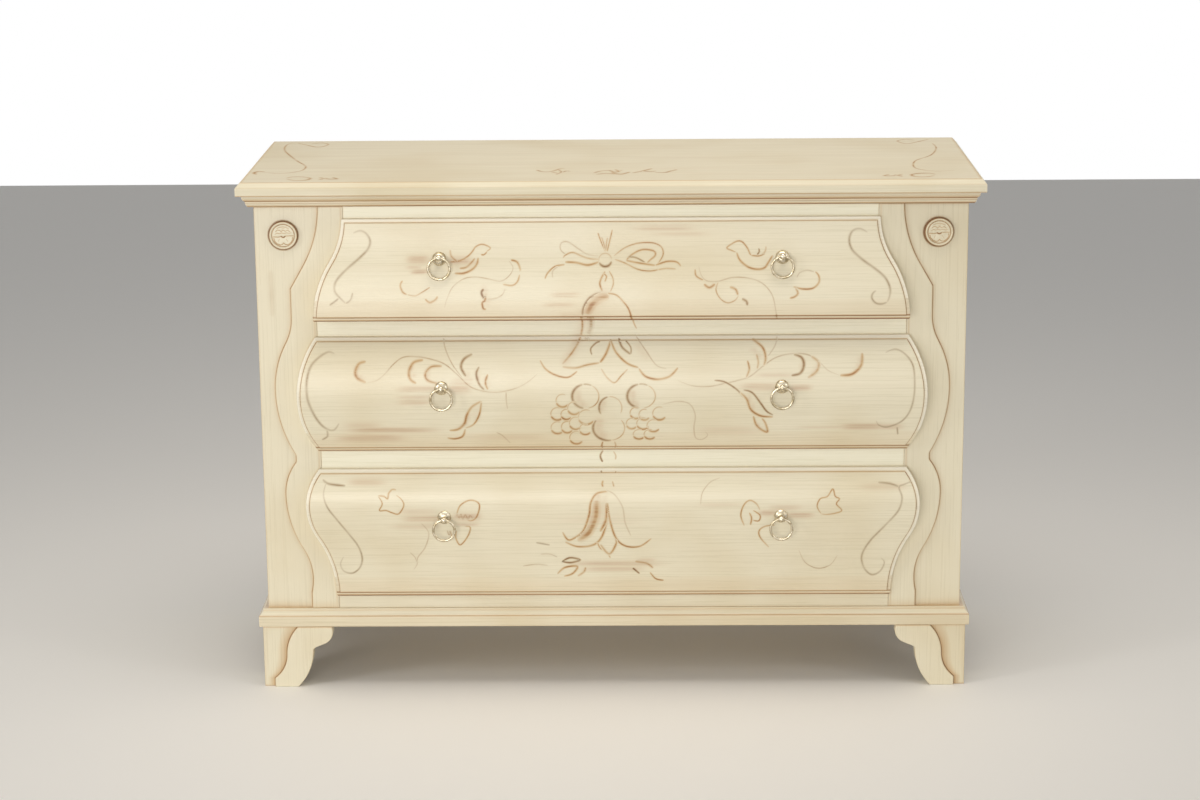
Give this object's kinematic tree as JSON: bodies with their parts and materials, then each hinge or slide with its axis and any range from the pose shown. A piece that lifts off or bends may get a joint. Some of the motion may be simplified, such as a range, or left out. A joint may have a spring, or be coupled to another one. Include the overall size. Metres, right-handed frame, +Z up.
{
  "type": "chest of drawers",
  "caption": "Painted wooden chest with swelled, lipped drawer fronts, scrolled boards at the corners, moulded top and base, bracket feet and ring pulls.",
  "frame": {"origin": "on the floor under the middle of the chest's bounding box, ring pulls included", "axes": "+X to the right as seen from the front, +Y from the front to the back, +Z up"},
  "size_m": [1.224, 0.4886, 0.87],
  "materials": {
    "painted_wood": "antique cream paint, satin",
    "raw_wood": "bare, planed",
    "plywood": "bare",
    "plated_brass": "aged nickel plate",
    "steel_nuts": "zinc plated"
  },
  "bodies": {
    "case": {"back_panel": "plywood", "base_moulding_front": "painted_wood", "base_moulding_left": "painted_wood", "base_moulding_right": "painted_wood", "bottom_rail": "painted_wood", "cornice_front": "painted_wood", "cornice_left": "painted_wood", "cornice_right": "painted_wood", "front_foot_left": "painted_wood", "front_foot_right": "painted_wood", "front_stile_left": "painted_wood", "front_stile_right": "painted_wood", "glue_blocks": "raw_wood", "kickers": "raw_wood", "lower_rail": "painted_wood", "lower_runners": "raw_wood", "middle_runners": "raw_wood", "rear_foot_left": "painted_wood", "rear_foot_right": "painted_wood", "rear_rails": "raw_wood", "rosette_left": "painted_wood", "rosette_right": "painted_wood", "scroll_bracket_left": "painted_wood", "scroll_bracket_right": "painted_wood", "scrolled_stile_left": "painted_wood", "scrolled_stile_right": "painted_wood", "side_panel_left": "painted_wood", "side_panel_right": "painted_wood", "top_board": "painted_wood", "top_rail": "painted_wood", "upper_rail": "painted_wood", "upper_runners": "raw_wood"},
    "upper_drawer": {"upper_drawer_back": "raw_wood", "upper_drawer_bottom": "plywood", "upper_drawer_front": "painted_wood", "upper_drawer_side_left": "raw_wood", "upper_drawer_side_right": "raw_wood", "upper_pull_nuts": "steel_nuts", "upper_pull_posts": "plated_brass"},
    "upper_left_ring": {"upper_ring_left": "plated_brass"},
    "upper_right_ring": {"upper_ring_right": "plated_brass"},
    "middle_drawer": {"middle_drawer_back": "raw_wood", "middle_drawer_bottom": "plywood", "middle_drawer_front": "painted_wood", "middle_drawer_side_left": "raw_wood", "middle_drawer_side_right": "raw_wood", "middle_pull_nuts": "steel_nuts", "middle_pull_posts": "plated_brass"},
    "middle_left_ring": {"middle_ring_left": "plated_brass"},
    "middle_right_ring": {"middle_ring_right": "plated_brass"},
    "lower_drawer": {"lower_drawer_back": "raw_wood", "lower_drawer_bottom": "plywood", "lower_drawer_front": "painted_wood", "lower_drawer_side_left": "raw_wood", "lower_drawer_side_right": "raw_wood", "lower_pull_nuts": "steel_nuts", "lower_pull_posts": "plated_brass"},
    "lower_left_ring": {"lower_ring_left": "plated_brass"},
    "lower_right_ring": {"lower_ring_right": "plated_brass"}
  },
  "joints": [
    {"name": "upper_drawer_slide", "type": "slide", "parent": "case", "child": "upper_drawer", "axis": [0, -1, 0], "range_m": [0, 0.3]},
    {"name": "upper_left_ring_hinge", "type": "hinge", "parent": "upper_drawer", "child": "upper_left_ring", "pos_m": [-0.28102, -0.22168, 0.74655], "axis": [-1, 0, 0], "range_deg": [-3, 100]},
    {"name": "upper_right_ring_hinge", "type": "hinge", "parent": "upper_drawer", "child": "upper_right_ring", "pos_m": [0.28102, -0.22168, 0.74655], "axis": [-1, 0, 0], "range_deg": [-3, 100]},
    {"name": "middle_drawer_slide", "type": "slide", "parent": "case", "child": "middle_drawer", "axis": [0, -1, 0], "range_m": [0, 0.3]},
    {"name": "middle_left_ring_hinge", "type": "hinge", "parent": "middle_drawer", "child": "middle_left_ring", "pos_m": [-0.28102, -0.23877, 0.53021], "axis": [-1, 0, 0], "range_deg": [-17, 100]},
    {"name": "middle_right_ring_hinge", "type": "hinge", "parent": "middle_drawer", "child": "middle_right_ring", "pos_m": [0.28102, -0.23877, 0.53021], "axis": [-1, 0, 0], "range_deg": [-17, 100]},
    {"name": "lower_drawer_slide", "type": "slide", "parent": "case", "child": "lower_drawer", "axis": [0, -1, 0], "range_m": [0, 0.3]},
    {"name": "lower_left_ring_hinge", "type": "hinge", "parent": "lower_drawer", "child": "lower_left_ring", "pos_m": [-0.28102, -0.23661, 0.30526], "axis": [-1, 0, 0], "range_deg": [-27, 100]},
    {"name": "lower_right_ring_hinge", "type": "hinge", "parent": "lower_drawer", "child": "lower_right_ring", "pos_m": [0.28102, -0.23661, 0.30526], "axis": [-1, 0, 0], "range_deg": [-27, 100]}
  ]
}
